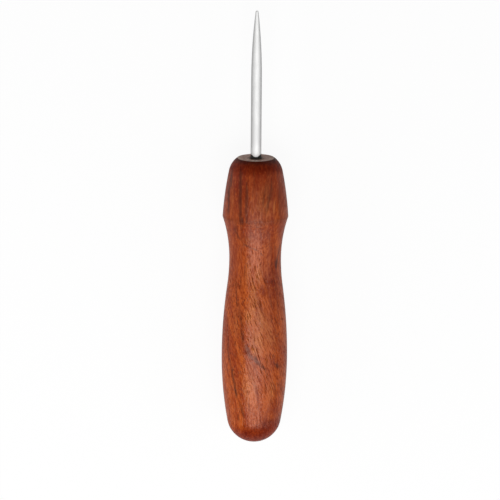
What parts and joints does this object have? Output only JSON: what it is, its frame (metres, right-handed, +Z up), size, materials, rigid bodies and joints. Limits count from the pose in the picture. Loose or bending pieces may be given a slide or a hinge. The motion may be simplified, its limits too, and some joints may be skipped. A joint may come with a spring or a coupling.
{
  "type": "awl",
  "caption": "Small hand awl: a turned, waisted hardwood handle with a crisp shoulder ridge and domed butt, and a round tapered steel needle glued into its nose.",
  "frame": {"origin": "centre of the bounding box at the table surface that the awl lies on", "axes": "+X along the awl towards the point, +Z up from the table"},
  "size_m": [0.066, 0.0098, 0.0098],
  "materials": {
    "lacquered_wood": "red-brown hardwood under clear gloss lacquer",
    "polished_steel": "polished, with faint lengthwise grinding",
    "dark_glue": "set dark adhesive"
  },
  "bodies": {
    "root": {"turned_handle": "lacquered_wood", "steel_needle": "polished_steel", "glue_sleeve": "dark_glue"}
  },
  "joints": []
}
